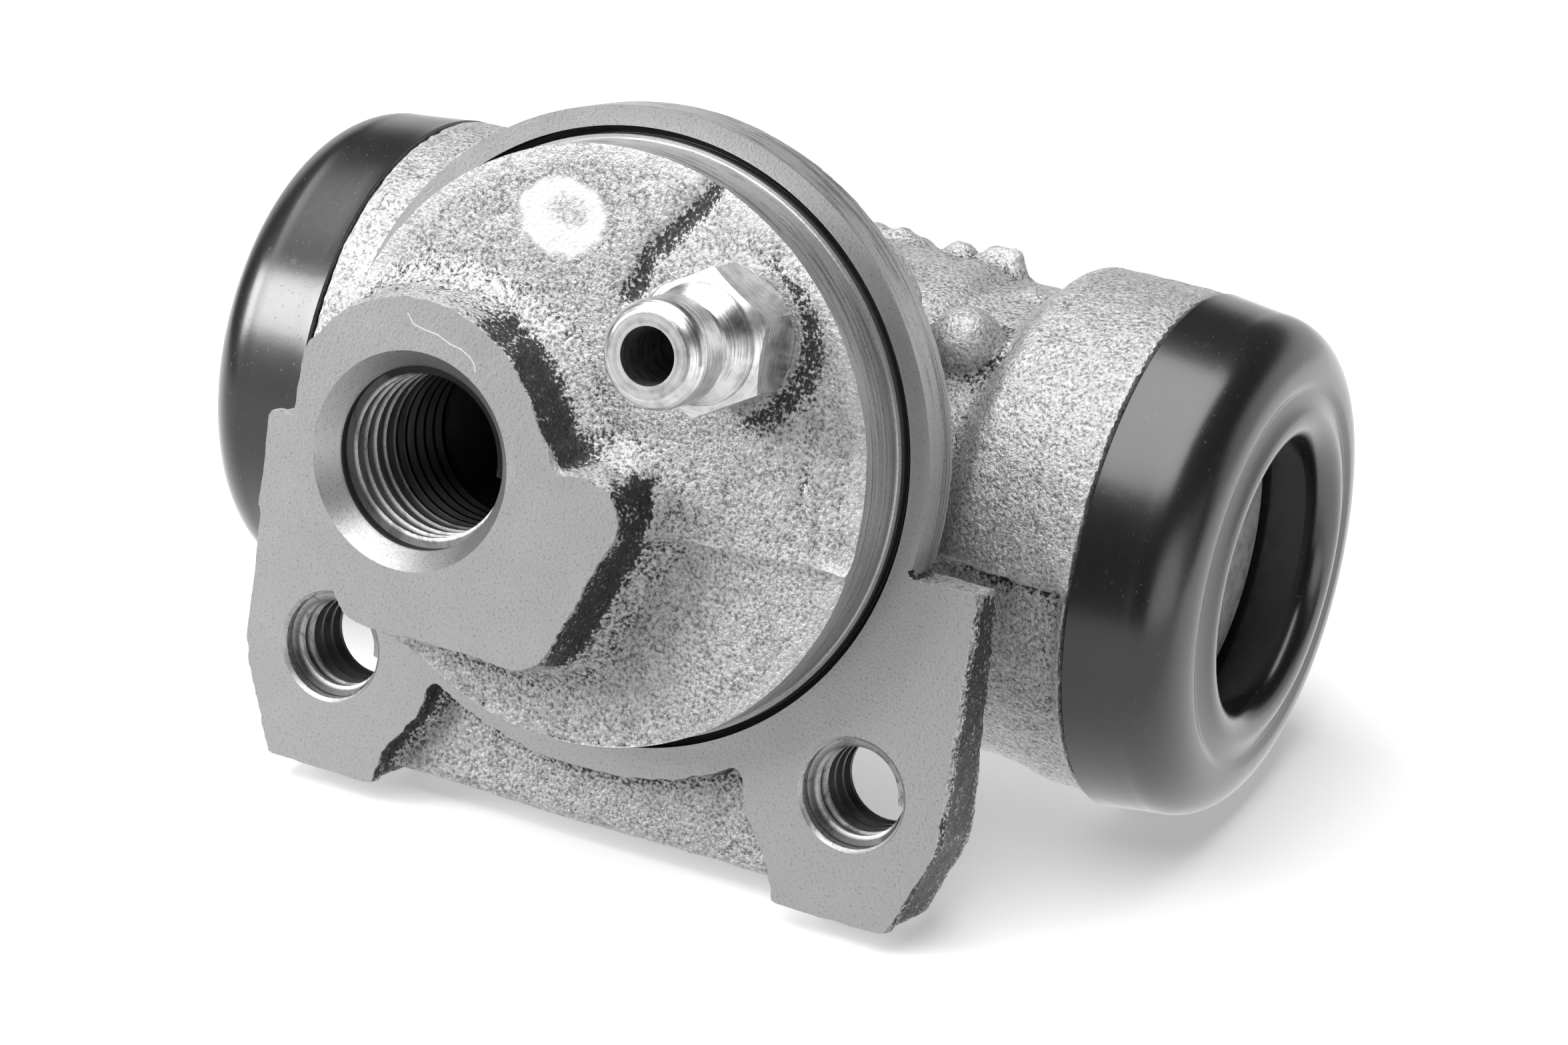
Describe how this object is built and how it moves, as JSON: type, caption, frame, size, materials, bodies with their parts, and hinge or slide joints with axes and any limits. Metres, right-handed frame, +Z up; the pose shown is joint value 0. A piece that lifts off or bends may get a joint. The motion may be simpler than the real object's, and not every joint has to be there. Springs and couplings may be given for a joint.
{
  "type": "wheel cylinder",
  "caption": "Hydraulic drum-brake wheel cylinder: cast body with pilot flange, inlet boss and threaded ears, opposed pistons under rubber dust boots, and a bleed screw.",
  "frame": {"origin": "centre of the locating pilot, on the mounting face", "axes": "+X along the bore, away from the inlet; +Y from the mounting face into the brake; +Z up, away from the ears"},
  "size_m": [0.0627, 0.0499, 0.0411],
  "materials": {
    "casting": "sand-cast, machined faces",
    "screw": "plated",
    "piston": "turned",
    "cup": "smooth",
    "seat": "plated",
    "spring": "drawn wire",
    "boot": "glossy moulded"
  },
  "bodies": {
    "housing": {"body": "casting", "return_spring": "spring", "dust_boot_left": "boot", "dust_boot_right": "boot"},
    "piston_left_unit": {"piston_left": "piston", "cup_seal_left": "cup", "spring_seat_left": "seat"},
    "piston_right_unit": {"piston_right": "piston", "cup_seal_right": "cup", "spring_seat_right": "seat"},
    "bleeder": {"bleed_screw": "screw"}
  },
  "joints": [
    {"name": "piston_left_slide", "type": "slide", "parent": "housing", "child": "piston_left_unit", "axis": [-1, 0, 0], "range_m": [-0.002, 0.006], "stiffness_N_per_m": 600, "deforming": ["dust_boot_left", "return_spring"]},
    {"name": "piston_right_slide", "type": "slide", "parent": "housing", "child": "piston_right_unit", "axis": [1, 0, 0], "range_m": [-0.002, 0.006], "stiffness_N_per_m": 600, "deforming": ["dust_boot_right", "return_spring"]},
    {"name": "bleed_screw_turn", "type": "hinge", "parent": "housing", "child": "bleeder", "pos_m": [0.0075, 0, 0.0079], "axis": [0, -1, 0], "range_deg": [0, 360]}
  ]
}
